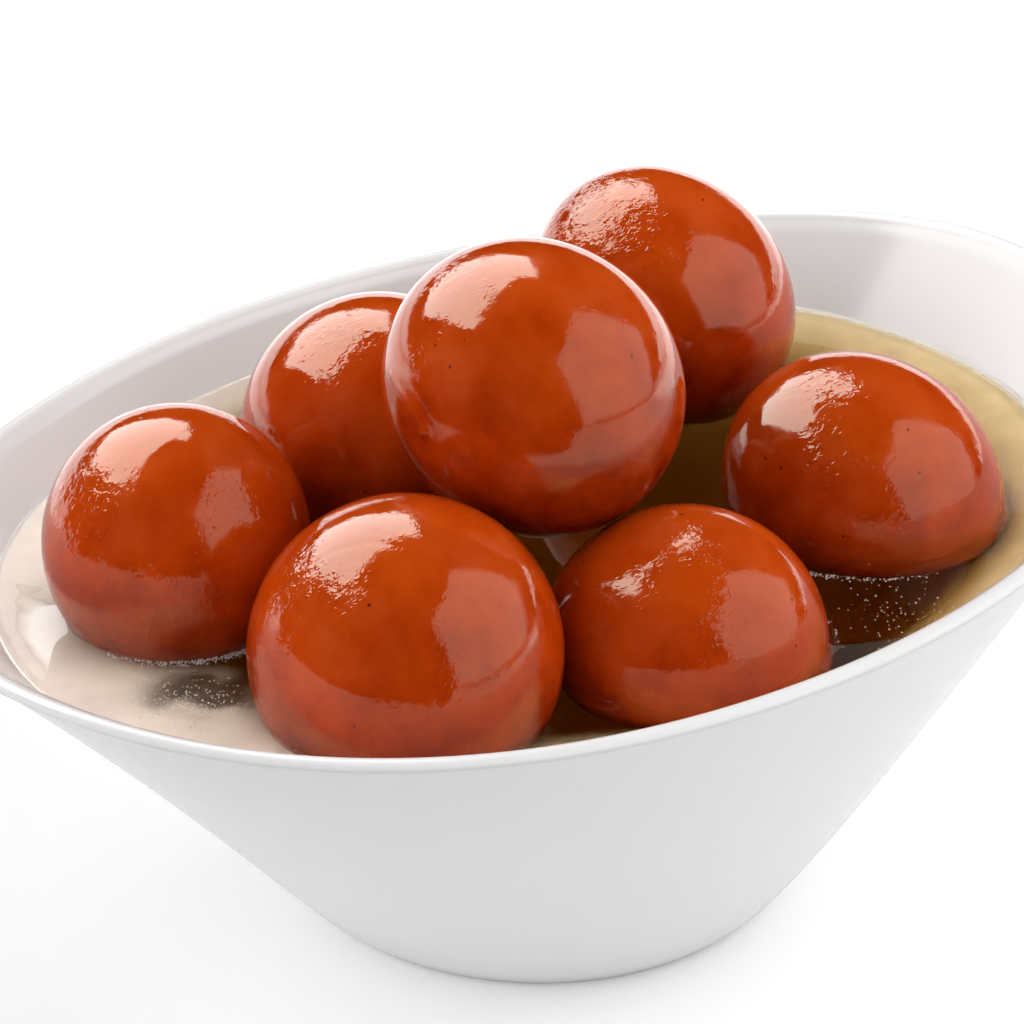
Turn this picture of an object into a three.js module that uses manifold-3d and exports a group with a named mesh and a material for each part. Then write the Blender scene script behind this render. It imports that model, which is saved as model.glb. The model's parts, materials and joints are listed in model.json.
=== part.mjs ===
// Gulab jamun: seven fried milk-dough balls heaped in sugar syrup, in an oval porcelain bowl.
// Millimetres, +Z up, +X along the length of the bowl, origin at the middle of the foot's underside.

import * as THREE from "three";
import { mergeVertices } from "three/addons/utils/BufferGeometryUtils.js";
import Module from "manifold-3d";

const wasm = await Module();
wasm.setup();

// The bowl: a round foot that opens into an oval rim, whose two ends rise like a boat's.
const RIM_LENGTH = 177.4;
const RIM_WIDTH = 126.2;
const RIM_HEIGHT = 58;
const END_RISE = 4.5;
const FOOT_RADIUS = 32;
const FOOT_RING_WIDTH = 4.6;
const FOOT_RECESS = 2.2;
const FOOT_CHAMFER = 0.8;
const WALL = 2.7;
const LIP_RADIUS = 1.2;
const FLOOR_HEIGHT = 6.2;
const FLOOR_CORNER = 10;
const WALL_CURVE = 0.844; // 1 is a straight wall, less bellies it outward
const WALL_STEPS = 7;
const BOWL_SIDES = 60;

// The syrup stands a little below the rim, and every piece keeps a hair's gap to its neighbours.
const SYRUP_LEVEL = 50.3;
const GAP = 0.3;

// The balls: centre, then half sizes along the long axis, beside it and across it.
// The long axis points along the heading, seen from above, and dips below the horizontal.
const BALLS = [
  { name: "ball_top", at: [-12.6, -12.6, 77.6], half: [18.85, 17.9, 17.3], heading: -64, dip: 36 },
  { name: "ball_back", at: [36.7, 16.8, 64.3], half: [18.9, 17.1, 15.9], heading: -65, dip: 38 },
  { name: "ball_right", at: [34.4, -23.4, 52.1], half: [18.8, 17.3, 16.4], heading: -62, dip: 34 },
  { name: "ball_front_right", at: [-7.9, -35.6, 49.9], half: [17.5, 17.4, 17.4], heading: -41, dip: 0 },
  { name: "ball_front", at: [-42, -23.9, 56.7], half: [18.7, 18.5, 18.9], heading: -41, dip: 0 },
  { name: "ball_left", at: [-48.9, 11.4, 59.4], half: [16.4, 16.5, 17.1], heading: -41, dip: 0 },
  { name: "ball_back_left", at: [-11.4, 18.3, 59.6], half: [17.8, 17.6, 17.6], heading: -41, dip: 0 },
];
const BALL_DETAIL = 5;

// Each ball was rolled by hand: broad swells and hollows leave it slightly out of true.
const SWELLS = 7;
const SWELL_SIZE = 0.022; // share of the ball's radius
const SWELL_REACH = 0.45; // how far a swell spreads, as 1 minus a cosine
const SWELL_SEED = 11;

const porcelain = new THREE.MeshStandardMaterial({ color: 0xf2f1ef, roughness: 0.15, metalness: 0 });
const syrupGlaze = new THREE.MeshStandardMaterial({ color: 0xb98a3c, roughness: 0.08, metalness: 0 });
const friedDough = new THREE.MeshStandardMaterial({ color: 0x9c2f0d, roughness: 0.22, metalness: 0 });

/** Joins the corners that coincide and drops the triangles that collapse at a pole. */
function weld(geometry) {
  geometry.deleteAttribute("normal");
  geometry.deleteAttribute("uv");
  const welded = mergeVertices(geometry, 1e-4);
  const corners = welded.index.array;
  const kept = [];
  for (let i = 0; i < corners.length; i += 3) {
    const [a, b, c] = corners.slice(i, i + 3);
    if (a !== b && b !== c && c !== a) {
      kept.push(a, b, c);
    }
  }
  welded.setIndex(kept);
  return welded;
}

/** The solid inside a closed geometry, for cutting and joining. */
function solidOf(geometry) {
  const mesh = new wasm.Mesh({
    numProp: 3,
    vertProperties: new Float32Array(geometry.attributes.position.array),
    triVerts: new Uint32Array(geometry.index.array),
  });
  return new wasm.Manifold(mesh);
}

/** The geometry of a solid that was cut or joined. */
function geometryOf(solid) {
  const { vertProperties, triVerts } = solid.getMesh();
  const geometry = new THREE.BufferGeometry();
  geometry.setAttribute("position", new THREE.BufferAttribute(vertProperties, 3));
  geometry.setIndex(new THREE.BufferAttribute(triVerts, 1));
  return geometry;
}

/** A flat-shaded mesh with its node's name. */
function named(name, geometry, material) {
  geometry.computeVertexNormals();
  const mesh = new THREE.Mesh(geometry, material);
  mesh.name = name;
  return mesh;
}

/** Half the width of the bowl's outside at a height. */
function outerRadius(height) {
  const share = Math.max(height, 0) / RIM_HEIGHT;
  return FOOT_RADIUS + (RIM_WIDTH / 2 - FOOT_RADIUS) * share ** WALL_CURVE;
}

/**
 * Revolves a profile of radius and height, then stretches the round into the oval with raised ends.
 * The wall keeps its thickness all round.
 */
function ovalLathe(profile) {
  const points = profile.map(([radius, height]) => new THREE.Vector2(radius, height));
  const geometry = weld(new THREE.LatheGeometry(points, BOWL_SIDES));
  geometry.rotateX(Math.PI / 2);
  const position = geometry.attributes.position;
  for (let i = 0; i < position.count; i += 1) {
    const x = position.getX(i);
    const y = position.getY(i);
    const height = position.getZ(i);
    const radius = Math.hypot(x, y);
    const stretch = (RIM_LENGTH / RIM_WIDTH - 1) * (height / RIM_HEIGHT);
    const depth = THREE.MathUtils.clamp(outerRadius(height) - radius, 0, WALL);
    const towardsEnd = x / Math.max(radius, FOOT_RADIUS);
    const rise = (END_RISE / RIM_HEIGHT) * towardsEnd ** 4;
    position.setXYZ(i, x + (x + towardsEnd * depth) * stretch, y, height * (1 + rise));
  }
  return geometry;
}

/** Steps along the inside of the wall from the floor up to a height, set in by a gap. */
function innerWall(top, inset) {
  const corner = FLOOR_HEIGHT + FLOOR_CORNER;
  const wall = [];
  for (let i = 0; i <= WALL_STEPS; i += 1) {
    const height = THREE.MathUtils.lerp(corner, top, i / WALL_STEPS);
    wall.push([outerRadius(height) - WALL - inset, height]);
  }
  const [cornerRadius] = wall[0];
  const floor = [
    [0, FLOOR_HEIGHT + inset],
    [cornerRadius - FLOOR_CORNER * 1.5, FLOOR_HEIGHT + inset],
    [cornerRadius - FLOOR_CORNER * 0.65, FLOOR_HEIGHT + FLOOR_CORNER * 0.16 + inset],
    [cornerRadius - FLOOR_CORNER * 0.2, FLOOR_HEIGHT + FLOOR_CORNER * 0.5 + inset],
  ];
  return [...floor, ...wall];
}

/** The bowl's own wall, floor, lip and foot ring in one. */
function makeBowl() {
  const lipBase = RIM_HEIGHT - LIP_RADIUS;
  const lipMiddle = outerRadius(RIM_HEIGHT) - WALL / 2;
  const underside = [
    [0, FOOT_RECESS],
    [FOOT_RADIUS - FOOT_RING_WIDTH - FOOT_CHAMFER, FOOT_RECESS],
    [FOOT_RADIUS - FOOT_RING_WIDTH, 0],
    [FOOT_RADIUS - FOOT_CHAMFER, 0],
    [outerRadius(FOOT_CHAMFER) - FOOT_CHAMFER * 0.4, FOOT_CHAMFER],
  ];
  const outside = [];
  for (let i = 0; i <= WALL_STEPS; i += 1) {
    const height = THREE.MathUtils.lerp(FOOT_CHAMFER * 3, lipBase, i / WALL_STEPS);
    outside.push([outerRadius(height), height]);
  }
  const lip = [30, 60, 90, 120, 150].map((degrees) => {
    const angle = THREE.MathUtils.degToRad(degrees);
    return [lipMiddle + (WALL / 2) * Math.cos(angle), lipBase + LIP_RADIUS * Math.sin(angle)];
  });
  const inside = innerWall(lipBase, 0).reverse();
  return named("bowl", ovalLathe([...underside, ...outside, ...lip, ...inside]), porcelain);
}

/** A repeatable draw from 0 to 1 for each whole number. */
function draw(number) {
  const wave = Math.sin(number * 127.1 + SWELL_SEED) * 43758.5453;
  return wave - Math.floor(wave);
}

/** The swells of one ball: where each one lies on the ball, and how far it stands out or in. */
function swellsOf(ballNumber) {
  return Array.from({ length: SWELLS }, (_, i) => {
    const first = (ballNumber * SWELLS + i) * 3;
    const height = 2 * draw(first) - 1;
    const turn = 2 * Math.PI * draw(first + 1);
    const level = Math.sqrt(1 - height ** 2);
    return {
      towards: new THREE.Vector3(level * Math.cos(turn), level * Math.sin(turn), height),
      size: SWELL_SIZE * (2 * draw(first + 2) - 1),
    };
  });
}

/** One ball's surface, pushed out by a clearance. */
function ballGeometry({ half }, ballNumber, clearance) {
  const geometry = weld(new THREE.IcosahedronGeometry(1, BALL_DETAIL));
  const position = geometry.attributes.position;
  const swells = swellsOf(ballNumber);
  const direction = new THREE.Vector3();
  const radii = new THREE.Vector3(...half).addScalar(clearance);
  for (let i = 0; i < position.count; i += 1) {
    direction.fromBufferAttribute(position, i);
    const swollen = swells.reduce((sum, swell) => {
      const away = 1 - direction.dot(swell.towards);
      return sum + swell.size * Math.exp(-away / SWELL_REACH);
    }, 1);
    direction.multiply(radii).multiplyScalar(swollen);
    position.setXYZ(i, direction.x, direction.y, direction.z);
  }
  return geometry;
}

/** Sets a ball in its place, its long axis turned to its heading and dipped. */
function placeBall(mesh, { at, heading, dip }) {
  mesh.position.set(...at);
  mesh.rotation.set(0, THREE.MathUtils.degToRad(dip), THREE.MathUtils.degToRad(heading), "ZYX");
  mesh.updateMatrix();
  return mesh;
}

function makeBall(ball, ballNumber) {
  return placeBall(named(ball.name, ballGeometry(ball, ballNumber, 0), friedDough), ball);
}

/** The syrup fills the bowl up to its level, round what is sunk of each ball. */
function makeSyrup() {
  const cavity = solidOf(ovalLathe([...innerWall(RIM_HEIGHT, GAP), [0, RIM_HEIGHT]]));
  const below = new THREE.BoxGeometry(RIM_LENGTH, RIM_WIDTH, SYRUP_LEVEL);
  below.translate(0, 0, SYRUP_LEVEL / 2);
  let pool = cavity.intersect(solidOf(weld(below)));
  BALLS.forEach((ball, ballNumber) => {
    const pocket = placeBall(new THREE.Mesh(ballGeometry(ball, ballNumber, GAP)), ball);
    pocket.geometry.applyMatrix4(pocket.matrix);
    pool = pool.subtract(solidOf(pocket.geometry));
  });
  return named("syrup", geometryOf(pool), syrupGlaze);
}

const group = new THREE.Group();
group.add(makeBowl());
group.add(makeSyrup());
BALLS.forEach((ball, ballNumber) => group.add(makeBall(ball, ballNumber)));

export default group;
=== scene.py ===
"""Looks of a bowl of gulab jamun: glazed porcelain, seven wet fried balls, and the syrup they stand in.

Sizes are millimetres, times MM where Blender needs metres. Directions called "view" are
(right, away, up) as the camera faces them, and are turned into the bowl's own frame by view_direction.
"""

import json
import math

import bmesh
import bpy
import numpy as np
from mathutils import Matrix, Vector

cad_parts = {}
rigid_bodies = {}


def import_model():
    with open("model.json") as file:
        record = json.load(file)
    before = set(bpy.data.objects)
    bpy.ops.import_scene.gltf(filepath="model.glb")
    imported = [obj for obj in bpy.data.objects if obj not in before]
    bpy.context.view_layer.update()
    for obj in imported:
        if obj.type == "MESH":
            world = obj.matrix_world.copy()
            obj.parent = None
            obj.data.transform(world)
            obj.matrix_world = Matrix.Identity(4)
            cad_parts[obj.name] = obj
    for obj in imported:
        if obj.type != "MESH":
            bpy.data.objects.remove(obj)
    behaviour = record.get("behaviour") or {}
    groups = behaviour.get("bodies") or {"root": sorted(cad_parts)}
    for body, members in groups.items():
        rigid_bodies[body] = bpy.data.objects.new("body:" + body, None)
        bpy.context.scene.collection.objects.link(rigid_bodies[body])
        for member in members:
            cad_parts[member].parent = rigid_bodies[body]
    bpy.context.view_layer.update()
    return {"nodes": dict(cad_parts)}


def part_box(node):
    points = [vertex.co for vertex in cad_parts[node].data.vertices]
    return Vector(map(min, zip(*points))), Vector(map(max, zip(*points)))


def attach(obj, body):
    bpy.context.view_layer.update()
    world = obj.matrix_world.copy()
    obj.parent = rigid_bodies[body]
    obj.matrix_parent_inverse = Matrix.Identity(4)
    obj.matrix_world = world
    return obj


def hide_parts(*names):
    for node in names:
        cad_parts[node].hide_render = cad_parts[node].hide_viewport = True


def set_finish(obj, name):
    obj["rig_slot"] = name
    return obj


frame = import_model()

MM = 0.001

# Camera: the place on the object that it looks past, and where that place lands in the picture.
VIEW_AZIMUTH = math.radians(-41.3)
VIEW_ELEVATION = math.radians(27.6)
VIEW_DISTANCE = 520
VIEW_TARGET = Vector((0, 0, 57.8))
TARGET_PIXEL = (541.2, 464.6)
IMAGE_SIZE = 1024
LENS = 143.87
SENSOR = 36

# Soft lights, which only shade: degrees round from straight behind the bowl (to the right is positive)
# and up, width, height, and brightness beside a white of 1. They all stand at one distance.
LIGHT_DISTANCE = 1000
SOFT_LIGHTS = {
    "soft_back_right": {"turn": 50, "rise": 35, "size": (1500, 1200), "radiance": 1.8},
    "soft_left": {"turn": -95, "rise": 20, "size": (1500, 1200), "radiance": 1.4},
    "soft_right": {"turn": 108, "rise": 31, "size": (1700, 1400), "radiance": 1.12},
    "soft_front_left": {"turn": -140, "rise": 30, "size": (1500, 1200), "radiance": 1.05},
    "soft_window": {"turn": -45, "rise": 50, "size": (1600, 1400), "radiance": 0.4},
}

# Panels, which show mirrored in what is glossy and light what lies under the syrup: corners
# (right, away, up) from VIEW_TARGET, brightness mirrored and through the syrup, how much of a panel's
# reach its soft edge takes, the share of its brightness that is left when it is mirrored again, and the
# only slot that it serves.
PANELS = {
    "window_panel": {
        "corners": [
            (-784, -276, 987),
            (-929, 562, 385),
            (-585, 1031, 333),
            (32, 1030, 747),
            (170, 406, 1215),
            (-545, -402, 1223),
        ],
        "radiance": 5.6,
        "through": 1.0,
        "edge": 0.06,
        "again": 0.2,
    },
    "overhead_panel": {
        "corners": [(-1000, -900, 1000), (-1000, 500, 1000), (500, 500, 1000), (500, -900, 1000)],
        "radiance": 0.0,
        "through": 4.8,
        "edge": 0.1,
    },
    "low_window_panel": {
        "corners": [
            (-620, 1020, 300),
            (-120, 1060, 560),
            (80, 1060, 700),
            (80, 1060, 800),
            (-620, 1020, 720),
        ],
        "radiance": 1.25,
        "through": 0.0,
        "edge": 0.3,
        "only": "syrup",
    },
    "low_sky_panel": {
        "corners": [(110, 1190, 330), (1000, 900, 330), (1000, 900, 620), (110, 1190, 620)],
        "radiance": 0.8,
        "through": 0.0,
        "edge": 0.2,
        "only": "syrup",
    },
    "high_sky_panel": {
        "corners": [(90, 1190, 600), (1000, 900, 600), (1000, 900, 900), (90, 1190, 900)],
        "radiance": 0.35,
        "through": 0.0,
        "edge": 0.1,
        "only": "syrup",
    },
    "side_panel": {
        "corners": [
            (1180, 721, 438),
            (1258, 215, -50),
            (806, -1175, -50),
            (398, -906, 954),
            (561, 69, 1268),
        ],
        "radiance": 1.2,
        "through": 0.0,
        "edge": 0.14,
    },
    "horizon_panel": {
        "corners": [(-3000, 900, -50), (2600, 1500, -50), (2600, 1500, 160), (-3000, 900, 160)],
        "radiance": 2.0,
        "through": 0.0,
        "edge": 0.1,
    },
}

# The floor is white paper. To the camera it glows a little at the bowl, and more and more from the
# nearer to the farther of the clear distances. Mirrored, it glows from FLOOR_FAR on, and past its front
# and left edges it is softly painted darker, as painted shade for the dim side of the room.
FLOOR_REACH = 4000
FLOOR_WHITE = 0.85
FLOOR_GLOW = 0.17
FLOOR_CLEAR = (180, 420)
FLOOR_FAR = 130
FLOOR_FAR_GLOW = 1.0
FLOOR_FRONT = -204
FLOOR_FRONT_SLOPE = 0.4
FLOOR_LEFT = -75.4
FLOOR_LEFT_SLOPE = 0.7
FLOOR_FADE = 60

# The bowl, by the same driving dimensions as its solid.
RIM_LENGTH = 177.4
RIM_WIDTH = 126.2
RIM_HEIGHT = 58
END_RISE = 4.5
FOOT_RADIUS = 32
FOOT_RING_WIDTH = 4.6
FOOT_RECESS = 2.2
FOOT_CHAMFER = 0.8
WALL = 2.7
LIP_RADIUS = 1.2
FLOOR_HEIGHT = 6.2
FLOOR_CORNER = 10
WALL_CURVE = 0.844
BOWL_SIDES = 240
BOWL_STEPS = 44
INSIDE_STEPS = 24

# The syrup: it climbs a little up the balls and the wall, unevenly, and its surface has low waves.
# Both are given as a size (of the climb's own share, or in millimetres) and the spacing of the hills.
SYRUP_LEVEL = 50.3
WALL_OVERLAP = 0.4
SYRUP_SIDES = 480
SYRUP_RINGS = 140
SYRUP_WALL_RINGS = 39
MENISCUS_REACH = 1.2
BALL_MENISCUS = 0.8
WALL_MENISCUS = 0.2
MENISCUS_WAVER = (0.12, 3.0)
SURFACE_WAVES = (0.006, 2.6)

# Milk from the balls clouds the syrup where it is shallow, along the wall. Its sheet lies between two
# shares of the way out to the wall, and thins out between two depths of syrup, a little deeper towards
# -X. It starts just below the surface and sinks by a share of the syrup's depth, which is given for the
# -X and the +X end. A clearing (right, away) shows what lies below, and its edge wanders by a distance
# over a spacing. From left to right the milk turns from white to honey over a width, and the honey
# starts a little deeper.
HAZE_SHARES = (1.0, 0.66)
HAZE_RINGS = 40
HAZE_DEPTHS = (5.0, 18.0)
HAZE_LEFT_DEPTH = 8.0
HAZE_TOP = 0.15
HAZE_SINKS = (0.1, 0.7)
HAZE_CLEARING = {"middle": (-40.0, -42.8), "reach": (7.4, 4.6), "strength": 0.92}
HAZE_WANDER = (1.6, 4.0)
HAZE_THICKNESS = 0.15
HAZE_DENSITY = 0.95
HONEY_WIDTH = 60
HONEY_START = 0.9

# Bubbles in the syrup: patches by their middle (right, away), half widths and number, and arcs of foam
# along a ball's waterline, in degrees round from the side that faces the camera, how far off it they
# begin, and their number.
BUBBLE_PATCHES = [
    {"middle": (-40.7, -46.0), "reach": (7.5, 5.0), "number": 260},
    {"middle": (43.5, -25.0), "reach": (8.0, 8.0), "number": 120},
]
FOAM_ARCS = [
    {"ball": "ball_left", "turns": (-40, 62), "away": 0.3, "number": 700},
    {"ball": "ball_right", "turns": (28, -34), "away": 3.4, "number": 200},
    {"ball": "ball_front_right", "turns": (80, 110), "away": 0.5, "number": 30},
]
FOAM_SPREAD = 0.45
BUBBLE_RADII = (0.04, 0.14)
BUBBLE_DETAIL = 2
BUBBLE_SEED = 5

# The balls' skin: relief in millimetres, as the depth and spacing of hills and of creases, and finer
# creases that only the shader shows. Between its patches, the skin is a little crinkled all over.
BALL_DETAIL = 7
SKIN_HILLS = [(0.035, 9.0), (0.012, 3.2), (0.006, 1.6)]
CREASE_DEPTH = 0.11
CREASE_SPACING = 1.3
CREASE_STRETCH = 1.7
FINE_DEPTH = 0.2
FINE_SPACING = 0.55
EVEN_CRINKLE = 0.10
EVEN_SPACING = 7.0
RAGGED_SPACING = 2.6

# The way that each ball's creases run, as the camera sees it (right, up).
CREASE_RUNS = {
    "ball_top": (1, 0.6),
    "ball_back": (1, 1),
    "ball_left": (0.2, 1),
    "ball_front": (0.6, 1),
    "ball_right": (1, 0.8),
    "ball_front_right": (1, 0.6),
    "ball_back_left": (1, 0.6),
}

# Crinkled patches: a place on the ball's face as the camera sees it (right, up, as shares of its
# radius), its reach as a share of the radius, and its strength.
CRINKLES = {
    "ball_top": [
        {"at": (-0.62, 0.70), "reach": 0.22, "strength": 0.5},
        {"at": (-0.68, 0.20), "reach": 0.16, "strength": 0.5},
        {"at": (-0.35, 0.62), "reach": 0.10, "strength": 0.4},
    ],
    "ball_back": [
        {"at": (-0.60, 0.55), "reach": 0.48, "strength": 0.9},
        {"at": (-0.20, 0.42), "reach": 0.26, "strength": 1.0},
    ],
    "ball_left": [
        {"at": (-0.45, 0.34), "reach": 0.24, "strength": 1.0},
        {"at": (-0.68, 0.36), "reach": 0.30, "strength": 0.8},
        {"at": (-0.55, 0.08), "reach": 0.26, "strength": 0.7},
        {"at": (0.50, 0.25), "reach": 0.30, "strength": 0.4},
        {"at": (-0.05, -0.45), "reach": 0.55, "strength": 0.5},
    ],
    "ball_front": [
        {"at": (-0.66, 0.46), "reach": 0.26, "strength": 1.0},
        {"at": (-0.42, 0.38), "reach": 0.22, "strength": 1.0},
        {"at": (-0.78, 0.10), "reach": 0.24, "strength": 0.5},
        {"at": (0.10, -0.50), "reach": 0.60, "strength": 0.4},
    ],
    "ball_right": [
        {"at": (-0.30, 0.66), "reach": 0.30, "strength": 0.7},
        {"at": (-0.30, 0.22), "reach": 0.26, "strength": 1.0},
        {"at": (0.15, -0.15), "reach": 0.35, "strength": 0.35},
    ],
    "ball_front_right": [
        {"at": (0.02, 0.72), "reach": 0.24, "strength": 1.0},
        {"at": (-0.30, 0.42), "reach": 0.26, "strength": 0.3},
        {"at": (0.10, 0.20), "reach": 0.45, "strength": 0.4},
        {"at": (-0.30, -0.45), "reach": 0.25, "strength": 0.4},
    ],
    "ball_back_left": [
        {"at": (-0.30, 0.60), "reach": 0.34, "strength": 0.5},
    ],
}

# Ledges: a path on the ball's face, how far it stands out, its width, and the height of a drop at its
# end.
DROP_WIDTH = 0.8
LEDGES = {
    "ball_front": [
        {
            "path": [(-0.56, 0.525), (-0.455, 0.627), (-0.33, 0.67), (-0.17, 0.70), (-0.02, 0.67)],
            "height": -0.05,
            "width": 0.35,
            "drop": 0,
        },
    ],
    "ball_top": [
        {
            "path": [(-0.913, 0.067), (-0.847, -0.067), (-0.78, -0.187), (-0.713, -0.31)],
            "height": 0.12,
            "width": 0.4,
            "drop": 0.3,
        },
    ],
}


def view_direction(right, away, up):
    """A direction as the camera faces it, in the bowl's frame."""
    c, s = math.cos(VIEW_AZIMUTH), math.sin(VIEW_AZIMUTH)
    return Vector((right * c - away * s, right * s + away * c, up))


# ---------------------------------------------------------------- camera, lights, panels and world

def make_camera():
    data = bpy.data.cameras.new("camera")
    data.lens = LENS
    data.sensor_width = SENSOR
    camera = bpy.data.objects.new("camera", data)
    bpy.context.scene.collection.objects.link(camera)
    c, s = math.cos(VIEW_ELEVATION), math.sin(VIEW_ELEVATION)
    forward = view_direction(0, c, -s)
    above = view_direction(0, s, c)
    right = view_direction(1, 0, 0)
    pixel = VIEW_DISTANCE * SENSOR / LENS / IMAGE_SIZE
    offset_right = (TARGET_PIXEL[0] - IMAGE_SIZE / 2) * pixel
    offset_down = (TARGET_PIXEL[1] - IMAGE_SIZE / 2) * pixel
    place = VIEW_TARGET - forward * VIEW_DISTANCE
    aim = VIEW_TARGET - right * offset_right + above * offset_down
    camera.location = place * MM
    camera.rotation_euler = (aim - place).to_track_quat("-Z", "Y").to_euler()
    bpy.context.scene.camera = camera


def make_soft_light(name, turn, rise, size, radiance):
    """A soft rectangular light that faces the bowl and isn't mirrored in anything."""
    data = bpy.data.lights.new(name, "AREA")
    data.shape = "RECTANGLE"
    data.size, data.size_y = size[0] * MM, size[1] * MM
    data.energy = math.pi * data.size * data.size_y * radiance
    light = bpy.data.objects.new(name, data)
    turn, rise = math.radians(turn), math.radians(rise)
    level = math.cos(rise)
    direction = view_direction(math.sin(turn) * level, math.cos(turn) * level, math.sin(rise))
    light.location = (VIEW_TARGET + direction * LIGHT_DISTANCE) * MM
    light.rotation_euler = direction.to_track_quat("Z", "Y").to_euler()
    light.visible_glossy = False
    bpy.context.scene.collection.objects.link(light)


def make_panel(name, corners, radiance, through, edge, again=1.0, only=None):
    """A glowing panel with soft edges that neither the camera nor plain surfaces see.

    It may be fainter when it is mirrored a second time, and it may serve one slot only.
    """
    outer = np.array(corners, dtype=float)
    inner = outer + edge * (outer.mean(axis=0) - outer)
    sides = len(outer)
    points = [VIEW_TARGET + view_direction(*point) for point in np.concatenate([outer, inner])]
    faces = [tuple(range(sides, 2 * sides))]
    faces += [(i, (i + 1) % sides, sides + (i + 1) % sides, sides + i) for i in range(sides)]
    panel = make_object(name, points, faces, panel_material(name, radiance, through, again))
    brightness = panel.data.attributes.new("brightness", "FLOAT", "POINT")
    brightness.data.foreach_set("value", [0.0] * sides + [1.0] * sides)
    panel.visible_camera = False
    panel.visible_diffuse = False
    panel.visible_volume_scatter = False
    panel.visible_shadow = False
    if only:
        panel.light_linking.receiver_collection = bpy.data.collections.new("lit by " + name)
        for piece in bpy.data.objects:
            if piece.get("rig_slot") == only and piece.name != "syrup_haze":
                panel.light_linking.receiver_collection.objects.link(piece)


def make_world():
    world = bpy.data.worlds.new("studio")
    world.use_nodes = True
    background = world.node_tree.nodes["Background"]
    background.inputs["Color"].default_value = (1, 1, 1, 1)
    world.cycles_visibility.diffuse = False
    world.cycles_visibility.glossy = False
    world.cycles_visibility.transmission = False
    world.cycles_visibility.scatter = False
    bpy.context.scene.world = world
    bpy.context.scene.view_settings.view_transform = "Standard"


# ---------------------------------------------------------------- materials

def new_material(name):
    material = bpy.data.materials.new(name)
    material.use_nodes = True
    material.node_tree.nodes.clear()
    return material


def add_node(material, kind, inputs=None, **settings):
    """Adds a shader node. An input is a plain value, or another node's output to link."""
    tree = material.node_tree
    node = tree.nodes.new(kind)
    for setting, value in settings.items():
        setattr(node, setting, value)
    for socket, value in (inputs or {}).items():
        if isinstance(value, bpy.types.NodeSocket):
            tree.links.new(value, node.inputs[socket])
        else:
            node.inputs[socket].default_value = value
    return node


def porcelain_material():
    material = new_material("glazed porcelain")
    place = add_node(material, "ShaderNodeTexCoord").outputs["Object"]
    waves = add_node(material, "ShaderNodeTexNoise", {"Vector": place, "Scale": 90, "Detail": 2})
    relief = add_node(
        material,
        "ShaderNodeBump",
        {"Height": waves.outputs["Fac"], "Strength": 0.5, "Distance": 0.00004},
    )
    pooled = add_node(material, "ShaderNodeTexNoise", {"Vector": place, "Scale": 28, "Detail": 3})
    glaze = add_node(
        material,
        "ShaderNodeMix",
        {"Factor": pooled.outputs["Fac"], "A": (0.875, 0.875, 0.872, 1), "B": (0.845, 0.845, 0.838, 1)},
        data_type="RGBA",
    )
    shader = add_node(
        material,
        "ShaderNodeBsdfPrincipled",
        {
            "Base Color": glaze.outputs["Result"],
            "Roughness": 0.16,
            "IOR": 1.5,
            "Normal": relief.outputs["Normal"],
        },
    )
    add_node(material, "ShaderNodeOutputMaterial", {"Surface": shader.outputs["BSDF"]})
    return material


def dough_pores(material, place):
    """Scattered pores: 1 in a pore, and 0 elsewhere."""
    pores = add_node(material, "ShaderNodeTexVoronoi", {"Vector": place, "Scale": 330})
    few = add_node(
        material,
        "ShaderNodeMapRange",
        {"Value": pores.outputs["Color"], "From Min": 0.62, "From Max": 0.64},
    )
    dot = add_node(
        material,
        "ShaderNodeMapRange",
        {
            "Value": pores.outputs["Distance"],
            "From Min": 0.05,
            "From Max": 0.1,
            "To Min": 1,
            "To Max": 0,
        },
        interpolation_type="SMOOTHSTEP",
    )
    pore = add_node(
        material,
        "ShaderNodeMath",
        {0: few.outputs["Result"], 1: dot.outputs["Result"]},
        operation="MULTIPLY",
    )
    return pore.outputs["Value"]


def dough_colour_and_shade(material, place, pore):
    """Fried skin with random mottling and dark pores, and painted shade: redder and darker where it
    faces down, orange where it faces up.
    """
    # Painted shade: how far the skin faces up sets how light and orange it is coloured.
    facing = add_node(
        material,
        "ShaderNodeVectorMath",
        {0: add_node(material, "ShaderNodeNewGeometry").outputs["Normal"], 1: (0, 0, 1)},
        operation="DOT_PRODUCT",
    )
    height = add_node(
        material,
        "ShaderNodeMapRange",
        {"Value": facing.outputs["Value"], "From Min": -0.7, "From Max": 1.0},
    )
    patches = add_node(
        material,
        "ShaderNodeTexNoise",
        {"Vector": place, "Scale": 130, "Detail": 6, "Roughness": 0.62},
    )
    mottle_and_shade = add_node(
        material,
        "ShaderNodeMath",
        {0: patches.outputs["Fac"], 1: 1.6, 2: height.outputs["Result"]},
        operation="MULTIPLY_ADD",
    )
    tone = add_node(
        material,
        "ShaderNodeMapRange",
        {"Value": mottle_and_shade.outputs["Value"], "From Min": 0.75, "From Max": 1.9},
    )
    ramp = add_node(material, "ShaderNodeValToRGB", {"Fac": tone.outputs["Result"]})
    # From dark red to orange: both the random mottling and the painted shade of the downward-facing skin
    # move along this ramp.
    stops = ramp.color_ramp.elements
    stops[0].color = (0.19, 0.010, 0.001, 1)
    stops[1].color = (0.55, 0.064, 0.003, 1)
    middle = stops.new(0.6)
    middle.color = (0.455, 0.042, 0.0016, 1)
    colour = add_node(
        material,
        "ShaderNodeMix",
        {"Factor": pore, "A": ramp.outputs["Color"], "B": (0.16, 0.010, 0.001, 1)},
        data_type="RGBA",
    )
    return colour.outputs["Result"]


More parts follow.
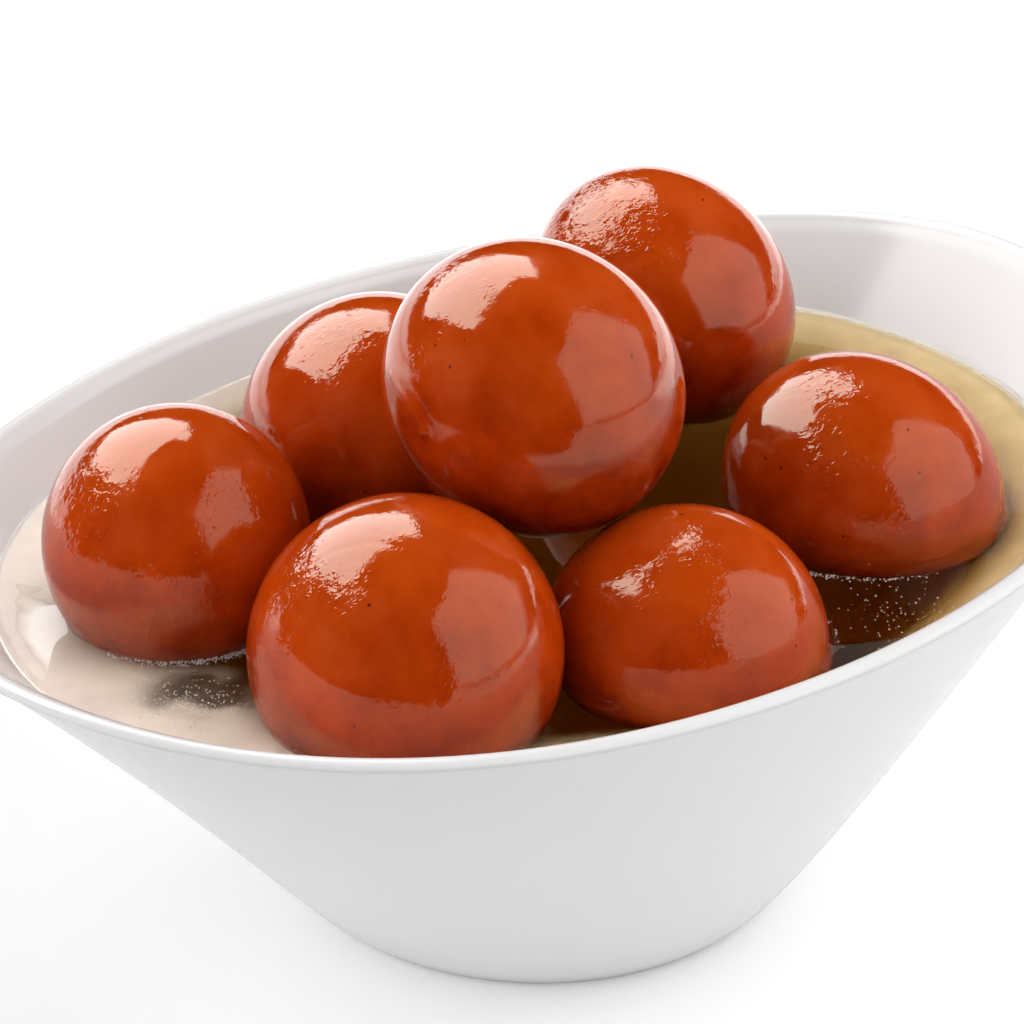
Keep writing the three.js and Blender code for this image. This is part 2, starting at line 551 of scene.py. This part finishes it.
def dough_relief(material, place, pore):
    """Fine grain and pores, and crinkles where the mesh says."""
    grain = add_node(material, "ShaderNodeAttribute", attribute_name="grain").outputs["Vector"]
    share = add_node(material, "ShaderNodeAttribute", attribute_name="crinkle").outputs["Fac"]
    creases = add_node(
        material,
        "ShaderNodeTexNoise",
        {"Vector": grain, "Scale": 1 / FINE_SPACING, "Detail": 2, "Distortion": 0.6},
        noise_type="RIDGED_MULTIFRACTAL",
    )
    crinkled = add_node(
        material,
        "ShaderNodeMath",
        {0: creases.outputs["Fac"], 1: share},
        operation="MULTIPLY",
    )
    skin = add_node(material, "ShaderNodeTexNoise", {"Vector": place, "Scale": 800, "Detail": 3})
    dents = add_node(
        material,
        "ShaderNodeMath",
        {0: skin.outputs["Fac"], 1: pore},
        operation="SUBTRACT",
    )
    fine = add_node(
        material,
        "ShaderNodeBump",
        {"Height": dents.outputs["Value"], "Strength": 0.6, "Distance": 0.00003},
    )
    relief = add_node(
        material,
        "ShaderNodeBump",
        {
            "Height": crinkled.outputs["Value"],
            "Strength": 1.0,
            "Distance": FINE_DEPTH * MM,
            "Normal": fine.outputs["Normal"],
        },
    )
    return relief.outputs["Normal"]


def dough_material():
    """Fried skin, unevenly wet with syrup."""
    material = new_material("fried dough")
    place = add_node(material, "ShaderNodeTexCoord").outputs["Object"]
    pore = dough_pores(material, place)
    wet = add_node(material, "ShaderNodeTexNoise", {"Vector": place, "Scale": 260, "Detail": 4})
    gloss = add_node(
        material,
        "ShaderNodeMapRange",
        {
            "Value": wet.outputs["Fac"],
            "From Min": 0.35,
            "From Max": 0.75,
            "To Min": 0.05,
            "To Max": 0.15,
        },
    )
    shader = add_node(
        material,
        "ShaderNodeBsdfPrincipled",
        {
            "Base Color": dough_colour_and_shade(material, place, pore),
            "Roughness": gloss.outputs["Result"],
            "IOR": 1.6,
            "Specular Tint": (1, 1, 0.8, 1),
            "Normal": dough_relief(material, place, pore),
        },
    )
    add_node(material, "ShaderNodeOutputMaterial", {"Surface": shader.outputs["BSDF"]})
    return material


def syrup_material():
    material = new_material("golden syrup")
    shader = add_node(
        material,
        "ShaderNodeBsdfPrincipled",
        {
            "Base Color": (1, 1, 1, 1),
            "Roughness": 0.0,
            "IOR": 1.42,
            "Specular IOR Level": 0.4,
            "Transmission Weight": 1.0,
        },
    )
    depth = add_node(
        material,
        "ShaderNodeVolumeAbsorption",
        {"Color": (0.725, 0.55, 0.125, 1), "Density": 80},
    )
    add_node(
        material,
        "ShaderNodeOutputMaterial",
        {"Surface": shader.outputs["BSDF"], "Volume": depth.outputs["Volume"]},
    )
    return material


def haze_material():
    """Milky syrup, as thick as the mesh says and a little cloudy."""
    material = new_material("milky syrup")
    place = add_node(material, "ShaderNodeTexCoord").outputs["Object"]
    cloud = add_node(material, "ShaderNodeTexNoise", {"Vector": place, "Scale": 120, "Detail": 4})
    share = add_node(material, "ShaderNodeAttribute", attribute_name="haze").outputs["Fac"]
    cloudy = add_node(
        material,
        "ShaderNodeMapRange",
        {"Value": cloud.outputs["Fac"], "From Min": 0.3, "From Max": 0.7, "To Min": 0.85, "To Max": 1.1},
    )
    dense = add_node(
        material,
        "ShaderNodeMath",
        {0: share, 1: cloudy.outputs["Result"]},
        operation="MULTIPLY",
    )
    honey = add_node(material, "ShaderNodeAttribute", attribute_name="honey").outputs["Fac"]
    tint = add_node(
        material,
        "ShaderNodeMix",
        {"Factor": honey, "A": (0.79, 0.70, 0.65, 1), "B": (0.93, 0.74, 0.42, 1)},
        data_type="RGBA",
    )
    milk = add_node(material, "ShaderNodeBsdfDiffuse", {"Color": tint.outputs["Result"]})
    clear = add_node(material, "ShaderNodeBsdfTransparent")
    both = add_node(
        material,
        "ShaderNodeMixShader",
        {0: dense.outputs["Value"], 1: clear.outputs["BSDF"], 2: milk.outputs["BSDF"]},
    )
    add_node(material, "ShaderNodeOutputMaterial", {"Surface": both.outputs["Shader"]})
    return material


def bubble_material():
    material = new_material("bubble film")
    shader = add_node(
        material,
        "ShaderNodeBsdfPrincipled",
        {"Base Color": (0.85, 0.78, 0.74, 1), "Roughness": 0.12, "IOR": 1.42, "Alpha": 0.4},
    )
    add_node(material, "ShaderNodeOutputMaterial", {"Surface": shader.outputs["BSDF"]})
    return material


def floor_paper(material, place, ray):
    """White paper. What mirrors it sees its light fall off past its front and left edges."""
    edges = (
        (view_direction(FLOOR_FRONT_SLOPE, 1, 0), FLOOR_FRONT),
        (view_direction(1, FLOOR_LEFT_SLOPE, 0), FLOOR_LEFT),
    )
    shares = []
    for along, edge in edges:
        reach = add_node(material, "ShaderNodeVectorMath", {0: place, 1: along}, operation="DOT_PRODUCT")
        share = add_node(
            material,
            "ShaderNodeMapRange",
            {
                "Value": reach.outputs["Value"],
                "From Min": (edge - FLOOR_FADE / 2) * MM,
                "From Max": (edge + FLOOR_FADE / 2) * MM,
            },
            interpolation_type="SMOOTHSTEP",
        )
        shares.append(share.outputs["Result"])
    # Painted shade: to every ray but the camera's, the paper is coloured darker past its front and left
    # edges.
    lit = add_node(material, "ShaderNodeMath", {0: shares[0], 1: shares[1]}, operation="MAXIMUM")
    seen = add_node(
        material,
        "ShaderNodeMath",
        {0: lit.outputs["Value"], 1: ray["Is Camera Ray"]},
        operation="MAXIMUM",
    )
    white = add_node(
        material,
        "ShaderNodeMath",
        {0: seen.outputs["Value"], 1: FLOOR_WHITE},
        operation="MULTIPLY",
    )
    return add_node(material, "ShaderNodeBsdfDiffuse", {"Color": white.outputs["Value"]})


def floor_glow(material, place, ray):
    """Light from the floor itself, so that shadows on it stay faint and what lies far off is white."""
    away = add_node(
        material,
        "ShaderNodeVectorMath",
        {0: place, 1: view_direction(0, 1, 0)},
        operation="DOT_PRODUCT",
    )
    far = add_node(
        material,
        "ShaderNodeMapRange",
        {
            "Value": away.outputs["Value"],
            "From Min": FLOOR_FAR * MM,
            "From Max": (FLOOR_FAR + FLOOR_FADE) * MM,
            "To Max": FLOOR_FAR_GLOW,
        },
        interpolation_type="SMOOTHSTEP",
    )
    distance = add_node(material, "ShaderNodeVectorMath", {0: place}, operation="LENGTH")
    clear = add_node(
        material,
        "ShaderNodeMapRange",
        {
            "Value": distance.outputs["Value"],
            "From Min": FLOOR_CLEAR[0] * MM,
            "From Max": FLOOR_CLEAR[1] * MM,
            "To Min": FLOOR_GLOW,
            "To Max": 1,
        },
        interpolation_type="SMOOTHSTEP",
    )
    mirrored = add_node(
        material,
        "ShaderNodeMath",
        {0: ray["Is Glossy Ray"], 1: far.outputs["Result"]},
        operation="MULTIPLY",
    )
    brightness = add_node(
        material,
        "ShaderNodeMath",
        {0: ray["Is Camera Ray"], 1: clear.outputs["Result"], 2: mirrored.outputs["Value"]},
        operation="MULTIPLY_ADD",
    )
    return add_node(material, "ShaderNodeEmission", {"Strength": brightness.outputs["Value"]})


def floor_material():
    material = new_material("pale floor")
    place = add_node(material, "ShaderNodeTexCoord").outputs["Object"]
    ray = add_node(material, "ShaderNodeLightPath").outputs
    paper = floor_paper(material, place, ray).outputs["BSDF"]
    glow = floor_glow(material, place, ray).outputs["Emission"]
    both = add_node(material, "ShaderNodeAddShader", {0: paper, 1: glow})
    add_node(material, "ShaderNodeOutputMaterial", {"Surface": both.outputs["Shader"]})
    return material


def panel_material(name, radiance, through, again):
    """The glow of a panel, by the brightness that its mesh carries."""
    material = new_material(name)
    share = add_node(material, "ShaderNodeAttribute", attribute_name="brightness").outputs["Fac"]
    ray = add_node(material, "ShaderNodeLightPath").outputs
    mirrored = add_node(
        material,
        "ShaderNodeMapRange",
        {
            "Value": ray["Glossy Depth"],
            "From Min": 1,
            "From Max": 2,
            "To Min": radiance,
            "To Max": radiance * again,
        },
    )
    shown = add_node(
        material,
        "ShaderNodeMapRange",
        {"Value": ray["Is Transmission Ray"], "To Min": mirrored.outputs["Result"], "To Max": through},
    )
    strength = add_node(
        material,
        "ShaderNodeMath",
        {0: share, 1: shown.outputs["Result"]},
        operation="MULTIPLY",
    )
    glow = add_node(material, "ShaderNodeEmission", {"Strength": strength.outputs["Value"]})
    add_node(material, "ShaderNodeOutputMaterial", {"Surface": glow.outputs["Emission"]})
    return material


# ---------------------------------------------------------------- meshes

def make_object(name, points, faces, material):
    """A smooth-shaded object from points in millimetres."""
    mesh = bpy.data.meshes.new(name)
    mesh.from_pydata((np.asarray(points) * MM).tolist(), [], faces)
    mesh.shade_smooth()
    mesh.materials.append(material)
    made = bpy.data.objects.new(name, mesh)
    bpy.context.scene.collection.objects.link(made)
    return made


def dress(piece, slot, *nodes):
    """The piece stands for CAD nodes, rides on the one body and takes its finish from a slot."""
    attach(piece, "root")
    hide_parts(*nodes)
    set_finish(piece, slot)
    return piece


def ring_faces(rings, sides):
    """Faces of a surface of rings, from a point at its start to a point at its end."""
    last = 1 + rings * sides
    faces = []
    for i in range(sides):
        j = (i + 1) % sides
        faces.append((0, 1 + j, 1 + i))
        for ring in range(rings - 1):
            a = 1 + ring * sides
            b = a + sides
            faces.append((a + i, a + j, b + j, b + i))
        faces.append((last, last - sides + i, last - sides + j))
    return faces


def outer_radius(height):
    """Half the width of the bowl's outside at a height."""
    share = np.maximum(height, 0) / RIM_HEIGHT
    return FOOT_RADIUS + (RIM_WIDTH / 2 - FOOT_RADIUS) * share ** WALL_CURVE


def to_oval(radius, height, turn):
    """Places a point of the round profile on the oval with raised ends. The wall keeps its thickness."""
    x, y = radius * np.cos(turn), radius * np.sin(turn)
    stretch = (RIM_LENGTH / RIM_WIDTH - 1) * (height / RIM_HEIGHT)
    depth = np.clip(outer_radius(height) - radius, 0, WALL)
    towards_end = x / np.maximum(radius, FOOT_RADIUS)
    rise = END_RISE / RIM_HEIGHT * towards_end ** 4
    return np.stack([x + (x + towards_end * depth) * stretch, y, height * (1 + rise)], axis=-1)


def inner_wall(top, inset, steps):
    """Radii and heights of the bowl's inside, from the middle of its floor up to a height."""
    corner = FLOOR_HEIGHT + FLOOR_CORNER
    heights = np.linspace(corner, top, steps)
    radii = outer_radius(heights) - WALL - inset
    slope = (radii[1] - radii[0]) / (heights[1] - heights[0])
    bend = [
        (radii[0] - FLOOR_CORNER * 1.5, FLOOR_HEIGHT + inset),
        (radii[0] - FLOOR_CORNER * 0.6, FLOOR_HEIGHT + inset),
        (radii[0] - FLOOR_CORNER * 0.55 * slope, corner - FLOOR_CORNER * 0.55),
        (radii[0], corner),
    ]
    curve = [bezier(bend, t) for t in np.linspace(0, 1, 12)[:-1]]
    flat = [(radii[0] * share, FLOOR_HEIGHT + inset) for share in (0.0, 0.15, 0.35)]
    return flat + curve + list(zip(radii, heights))


def bezier(points, t):
    """A point on a cubic curve."""
    (ax, ay), (bx, by), (cx, cy), (dx, dy) = points
    u = 1 - t
    weights = (u ** 3, 3 * u * u * t, 3 * u * t * t, t ** 3)
    x = sum(w * v for w, v in zip(weights, (ax, bx, cx, dx)))
    y = sum(w * v for w, v in zip(weights, (ay, by, cy, dy)))
    return x, y


def make_bowl(material):
    lip_base = RIM_HEIGHT - LIP_RADIUS
    lip_middle = float(outer_radius(RIM_HEIGHT)) - WALL / 2
    underside = [
        (0, FOOT_RECESS),
        (10, FOOT_RECESS),
        (20, FOOT_RECESS),
        (FOOT_RADIUS - FOOT_RING_WIDTH - FOOT_CHAMFER - 0.5, FOOT_RECESS),
        (FOOT_RADIUS - FOOT_RING_WIDTH - FOOT_CHAMFER, FOOT_RECESS - 0.3),
        (FOOT_RADIUS - FOOT_RING_WIDTH - 0.3, 0.2),
        (FOOT_RADIUS - FOOT_RING_WIDTH, 0),
        (FOOT_RADIUS - FOOT_CHAMFER, 0),
        (float(outer_radius(0.2)) - FOOT_CHAMFER * 0.6, 0.15),
        (float(outer_radius(FOOT_CHAMFER)) - FOOT_CHAMFER * 0.4, FOOT_CHAMFER),
    ]
    heights = np.linspace(FOOT_CHAMFER * 3, lip_base, BOWL_STEPS)
    outside = list(zip(outer_radius(heights), heights))
    lip = []
    for degrees in range(15, 180, 15):
        angle = math.radians(degrees)
        lip.append((lip_middle + WALL / 2 * math.cos(angle), lip_base + LIP_RADIUS * math.sin(angle)))
    inside = inner_wall(lip_base, 0, BOWL_STEPS)[::-1]
    profile = np.array(underside + outside + lip + inside)
    turns = np.arange(BOWL_SIDES) * 2 * np.pi / BOWL_SIDES
    rings = to_oval(profile[1:-1, 0:1], profile[1:-1, 1:2], turns[None, :])
    points = np.concatenate([
        to_oval(*profile[0], 0.0)[None],
        rings.reshape(-1, 3),
        to_oval(*profile[-1], 0.0)[None],
    ])
    bowl = make_object("porcelain_bowl", points, ring_faces(len(rings), BOWL_SIDES), material)
    return dress(bowl, "porcelain", "bowl")


# ---------------------------------------------------------------- balls

def noise(points, spacing, seed):
    """Smooth hills and hollows from about -1 to 1, one spacing apart."""
    rng = np.random.default_rng(seed)
    slopes = rng.normal(size=(256, 3))
    slopes /= np.linalg.norm(slopes, axis=1)[:, None]
    order = rng.permutation(256)
    grid = np.asarray(points) / spacing
    cell = np.floor(grid).astype(int)
    inside = grid - cell
    ease = inside ** 3 * (inside * (inside * 6 - 15) + 10)
    total = np.zeros(len(grid))
    for step in np.ndindex(2, 2, 2):
        i, j, k = (cell + step).T
        pick = order[(order[(order[i & 255] + j) & 255] + k) & 255]
        height = (slopes[pick] * (inside - step)).sum(axis=1)
        total += height * np.where(step, ease, 1 - ease).prod(axis=1)
    return total * 1.6


def creases(points, spacing, seed):
    """Narrow wandering ridges, from 0 to 1."""
    wander = [noise(points, spacing * 1.7, seed + n) for n in (1, 2, 3)]
    bent = points + 0.5 * spacing * np.stack(wander, axis=1)
    return np.clip(1 - 2.6 * np.abs(noise(bent, spacing, seed)), 0, 1)


def face_direction(right, up):
    """The direction of a place on a ball's face, as the camera sees it."""
    towards = math.sqrt(max(0.0, 1 - right ** 2 - up ** 2))
    c, s = math.cos(VIEW_ELEVATION), math.sin(VIEW_ELEVATION)
    return np.array(view_direction(right, up * s - towards * c, up * c + towards * s))


def crinkled(ball, directions, seed):
    """How creased the skin is, from 0 to 1, and its points drawn along the way that the creases run."""
    points = directions * ball.radius(directions)[:, None]
    share = EVEN_CRINKLE * np.clip(0.5 + 2 * noise(points, EVEN_SPACING, seed + 5), 0, 1)
    ragged = np.clip(0.8 + 1.2 * noise(points, RAGGED_SPACING, seed + 7), 0, 1)
    for patch in CRINKLES[ball.name]:
        away = np.linalg.norm(directions - face_direction(*patch["at"]), axis=1)
        near = np.clip(1.4 - away / patch["reach"], 0, 1)
        share = np.maximum(share, patch["strength"] * ragged * near)
    right, up = CREASE_RUNS[ball.name]
    run = right * np.array(view_direction(1, 0, 0)) + up * np.array(view_direction(0, 0, 1))
    run /= np.linalg.norm(run)
    grain = points - np.outer(points @ run, run) * (1 - 1 / CREASE_STRETCH)
    return share, grain


def ledge_relief(ball, directions):
    """Low ledges and runs of syrup along a path on the ball's face."""
    size = ball.radius(directions).mean()
    relief = np.zeros(len(directions))
    for ledge in LEDGES.get(ball.name, []):
        path = np.array([face_direction(*place) for place in ledge["path"]])
        nearest = np.full(len(directions), np.inf)
        for start, end in zip(path[:-1], path[1:]):
            step = end - start
            along = np.clip((directions - start) @ step / (step @ step), 0, 1)
            place = start + along[:, None] * step
            nearest = np.minimum(nearest, np.linalg.norm(directions - place, axis=1))
        relief += ledge["height"] * np.exp(-((nearest * size / ledge["width"]) ** 2))
        tip = np.linalg.norm(directions - path[-1], axis=1) * size
        relief += ledge["drop"] * np.exp(-((tip / DROP_WIDTH) ** 2))
    return relief


def skin_relief(ball, directions, seed, share, grain):
    """How far the skin stands out from the ball's smooth form."""
    points = directions * ball.radius(directions)[:, None]
    relief = np.zeros(len(directions))
    for number, (depth, spacing) in enumerate(SKIN_HILLS):
        relief += depth * noise(points, spacing, seed + number)
    relief += CREASE_DEPTH * share * creases(grain, CREASE_SPACING, seed + 20)
    return relief + ledge_relief(ball, directions)


def powers(directions):
    """Products of a direction's parts, of degree 5 and 6, enough for any smooth form."""
    x, y, z = np.asarray(directions).T
    terms = []
    for degree in (5, 6):
        for i in range(degree + 1):
            for j in range(degree + 1 - i):
                terms.append(x ** i * y ** j * z ** (degree - i - j))
    return np.stack(terms, axis=1)


class Ball:
    """The smooth form of a ball, taken from its solid in the frame."""

    def __init__(self, node):
        low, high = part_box(node)
        self.name = node
        self.centre = np.array((low + high) / 2) / MM
        corners = np.array([v.co for v in frame["nodes"][node].data.vertices]) / MM
        away = corners - self.centre
        distance = np.linalg.norm(away, axis=1)
        self.form = np.linalg.lstsq(powers(away / distance[:, None]), distance, rcond=None)[0]

    def radius(self, directions):
        """How far the surface is from the centre, in millimetres."""
        return powers(directions) @ self.form


def unit_sphere(detail):
    """Directions and faces of an even sphere."""
    shape = bmesh.new()
    bmesh.ops.create_icosphere(shape, subdivisions=detail, radius=1)
    directions = np.array([v.co for v in shape.verts])
    faces = [[v.index for v in face.verts] for face in shape.faces]
    shape.free()
    return directions / np.linalg.norm(directions, axis=1)[:, None], faces


def make_ball(ball, seed, sphere, material):
    directions, faces = sphere
    share, grain = crinkled(ball, directions, seed)
    reach = ball.radius(directions) + skin_relief(ball, directions, seed, share, grain)
    points = ball.centre + directions * reach[:, None]
    piece = make_object("dough_" + ball.name, points, faces, material)
    attributes = piece.data.attributes
    attributes.new("crinkle", "FLOAT", "POINT").data.foreach_set("value", share)
    attributes.new("grain", "FLOAT_VECTOR", "POINT").data.foreach_set("vector", grain.ravel())
    return dress(piece, "fried_dough", ball.name)


# ---------------------------------------------------------------- syrup

def syrup_lift(points, wall_gap, balls):
    """How far the syrup climbs at a place on its surface, near a ball or the wall."""
    lift = WALL_MENISCUS * np.exp(-wall_gap / MENISCUS_REACH)
    for ball in balls:
        away = points - ball.centre
        distance = np.linalg.norm(away, axis=1)
        gap = distance - ball.radius(away / distance[:, None])
        lift = np.hypot(lift, BALL_MENISCUS * np.exp(-np.maximum(gap, 0) / MENISCUS_REACH))
    waver, waver_spacing = MENISCUS_WAVER
    height, spacing = SURFACE_WAVES
    return lift * (1 + waver * noise(points, waver_spacing, 41)) + height * noise(points, spacing, 42)


def make_syrup(balls, material):
    turns = np.arange(SYRUP_SIDES) * 2 * np.pi / SYRUP_SIDES
    rim_height = SYRUP_LEVEL / (1 + END_RISE / RIM_HEIGHT * np.cos(turns) ** 4)
    rim_radius = outer_radius(rim_height) - WALL + WALL_OVERLAP
    edge = to_oval(rim_radius, rim_height, turns)
    shares = np.arange(1, SYRUP_RINGS + 1) / SYRUP_RINGS
    top = (edge[None] * shares[:, None, None]).reshape(-1, 3)
    top[:, 2] = SYRUP_LEVEL
    edge_reach = np.tile(np.hypot(edge[:, 0], edge[:, 1]), SYRUP_RINGS)
    wall_gap = np.maximum((1 - np.repeat(shares, SYRUP_SIDES)) * edge_reach - WALL_OVERLAP, 0)
    top[:, 2] += syrup_lift(top, wall_gap, balls)
    profile = np.array(inner_wall(RIM_HEIGHT, -WALL_OVERLAP, INSIDE_STEPS))[1:]
    under = []
    for share in np.linspace(1, 0, SYRUP_WALL_RINGS + 1)[1:]:
        heights = share * rim_height + (1 - share) * (FLOOR_HEIGHT - WALL_OVERLAP)
        radii = np.interp(heights, profile[:, 1], profile[:, 0])
        under.append(to_oval(radii, heights, turns))
    middle = np.array([[0, 0, SYRUP_LEVEL]])
    bottom = np.array([[0, 0, FLOOR_HEIGHT - WALL_OVERLAP]])
    points = np.concatenate([middle, top, np.array(under).reshape(-1, 3), bottom])
    faces = [face[::-1] for face in ring_faces(SYRUP_RINGS + len(under), SYRUP_SIDES)]
    syrup = make_object("syrup_pool", points, faces, material)
    return dress(syrup, "syrup", "syrup")


def haze_form():
    """Rings of points of the milky sheet, from the wall inwards, and how dense the milk is at each."""
    turns = np.arange(SYRUP_SIDES) * 2 * np.pi / SYRUP_SIDES
    profile = np.array(inner_wall(RIM_HEIGHT, 0, INSIDE_STEPS))
    wall = to_oval(profile[:, 0:1], profile[:, 1:2], turns[None, :])
    reach = np.hypot(wall[..., 0], wall[..., 1])
    shares = np.linspace(*HAZE_SHARES, HAZE_RINGS)
    top = np.zeros((HAZE_RINGS, SYRUP_SIDES, 3))
    dense = np.zeros((HAZE_RINGS, SYRUP_SIDES))
    for side in range(SYRUP_SIDES):
        angle = math.atan2(wall[-1, side, 1], wall[-1, side, 0])
        along_x = math.cos(angle)
        away = np.interp(SYRUP_LEVEL, wall[:, side, 2], reach[:, side]) * shares
        depth = SYRUP_LEVEL - np.interp(away, reach[:, side], wall[:, side, 2])
        sink = np.interp(along_x, (-1, 1), HAZE_SINKS)
        height = SYRUP_LEVEL - HAZE_TOP - sink * depth
        top[:, side] = np.stack([away * along_x, away * math.sin(angle), height], axis=1)
        depth -= HAZE_LEFT_DEPTH * max(0, -along_x) ** 2
        shallow = np.clip((HAZE_DEPTHS[1] - depth) / (HAZE_DEPTHS[1] - HAZE_DEPTHS[0]), 0, 1)
        dense[:, side] = HAZE_DENSITY * shallow ** 2 * (3 - 2 * shallow)
    return top, dense


def haze_clearing(top):
    """The share of the milk that is missing from the sheet, in a ragged patch."""
    wander, spacing = HAZE_WANDER
    offset = top - np.array(view_direction(*HAZE_CLEARING["middle"], 0))
    offset += wander * noise(top.reshape(-1, 3), spacing, 51).reshape(top.shape[:2])[..., None]
    across = offset @ np.array(view_direction(1, 0, 0)) / HAZE_CLEARING["reach"][0]
    along = offset @ np.array(view_direction(0, 1, 0)) / HAZE_CLEARING["reach"][1]
    return HAZE_CLEARING["strength"] * np.exp(-((across ** 4 + along ** 4) ** 1.5))


def tube_faces(rings, sides):
    """Faces of a surface of rings, whose last ring joins the first."""
    faces = []
    for ring in range(rings):
        a, b = ring * sides, (ring + 1) % rings * sides
        for i in range(sides):
            j = (i + 1) % sides
            faces.append((a + i, b + i, b + j, a + j))
    return faces


def make_haze(material):
    """A thin sheet of milky syrup round the wall, that sinks as the syrup gets deeper.

    It is white at the left and golden at the right, where it starts a little off the wall.
    """
    top, dense = haze_form()
    dense *= 1 - haze_clearing(top)
    honey = np.clip(0.5 + (top @ np.array(view_direction(1, 0, 0))) / HONEY_WIDTH, 0, 1)
    dense *= 1 - honey * np.exp(-((SYRUP_LEVEL - top[..., 2]) / HONEY_START) ** 2)
    both = np.concatenate([top, (top - (0, 0, HAZE_THICKNESS))[::-1]])
    faces = tube_faces(len(both), SYRUP_SIDES)
    sheet = make_object("syrup_haze", both.reshape(-1, 3), faces, material)
    for name, share in (("haze", dense), ("honey", honey)):
        shares = np.concatenate([share, share[::-1]]).ravel()
        sheet.data.attributes.new(name, "FLOAT", "POINT").data.foreach_set("value", shares)
    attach(sheet, "root")
    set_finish(sheet, "syrup")


def bubble_places(rng):
    """Middles of the bubbles that float in patches."""
    middles = []
    for patch in BUBBLE_PATCHES:
        for _ in range(patch["number"]):
            right, away = np.array(patch["middle"]) + rng.normal(size=2) * 0.5 * np.array(patch["reach"])
            middles.append(np.array(view_direction(right, away, SYRUP_LEVEL)))
    return middles


def foam_places(rng, balls):
    """Middles of the bubbles that gather at a ball's waterline, more of them towards an arc's end."""
    by_name = {ball.name: ball for ball in balls}
    middles = []
    for arc in FOAM_ARCS:
        ball = by_name[arc["ball"]]
        first, last = arc["turns"]
        for _ in range(arc["number"]):
            turn = math.radians(first + (last - first) * math.sqrt(rng.uniform()))
            level = np.array(view_direction(math.sin(turn), -math.cos(turn), 0))
            gap = arc["away"] + abs(rng.normal()) * FOAM_SPREAD
            drop = SYRUP_LEVEL + BALL_MENISCUS * math.exp(-gap / MENISCUS_REACH) - ball.centre[2]
            reach = math.sqrt(max(1, float(ball.radius(level[None])[0]) ** 2 - drop ** 2)) + gap
            middles.append(ball.centre + level * reach + (0, 0, drop))
    return middles


def make_bubbles(balls, material):
    """Small bubbles, half out of the syrup."""
    rng = np.random.default_rng(BUBBLE_SEED)
    directions, faces = unit_sphere(BUBBLE_DETAIL)
    points, joined = [], []
    for middle in bubble_places(rng) + foam_places(rng, balls):
        joined += [[corner + len(points) * len(directions) for corner in face] for face in faces]
        points.append(middle + directions * rng.uniform(*BUBBLE_RADII))
    bubbles = make_object("syrup_bubbles", np.concatenate(points), joined, material)
    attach(bubbles, "root")
    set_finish(bubbles, "syrup")


# ---------------------------------------------------------------- floor

def make_floor():
    sides = ((-1, -1), (1, -1), (1, 1), (-1, 1))
    corners = [(x * FLOOR_REACH, y * FLOOR_REACH, 0) for x, y in sides]
    floor = make_object("floor", corners, [(0, 1, 2, 3)], floor_material())


make_camera()
for name, light in SOFT_LIGHTS.items():
    make_soft_light(name, **light)
make_world()
make_floor()

balls = [Ball(node) for node in sorted(frame["nodes"]) if node.startswith("ball_")]
make_bowl(porcelain_material())
dough = dough_material()
sphere = unit_sphere(BALL_DETAIL)
for number, ball in enumerate(balls):
    make_ball(ball, 100 * number, sphere, dough)
make_syrup(balls, syrup_material())
make_haze(haze_material())
make_bubbles(balls, bubble_material())
for name, panel in PANELS.items():
    make_panel(name, **panel)
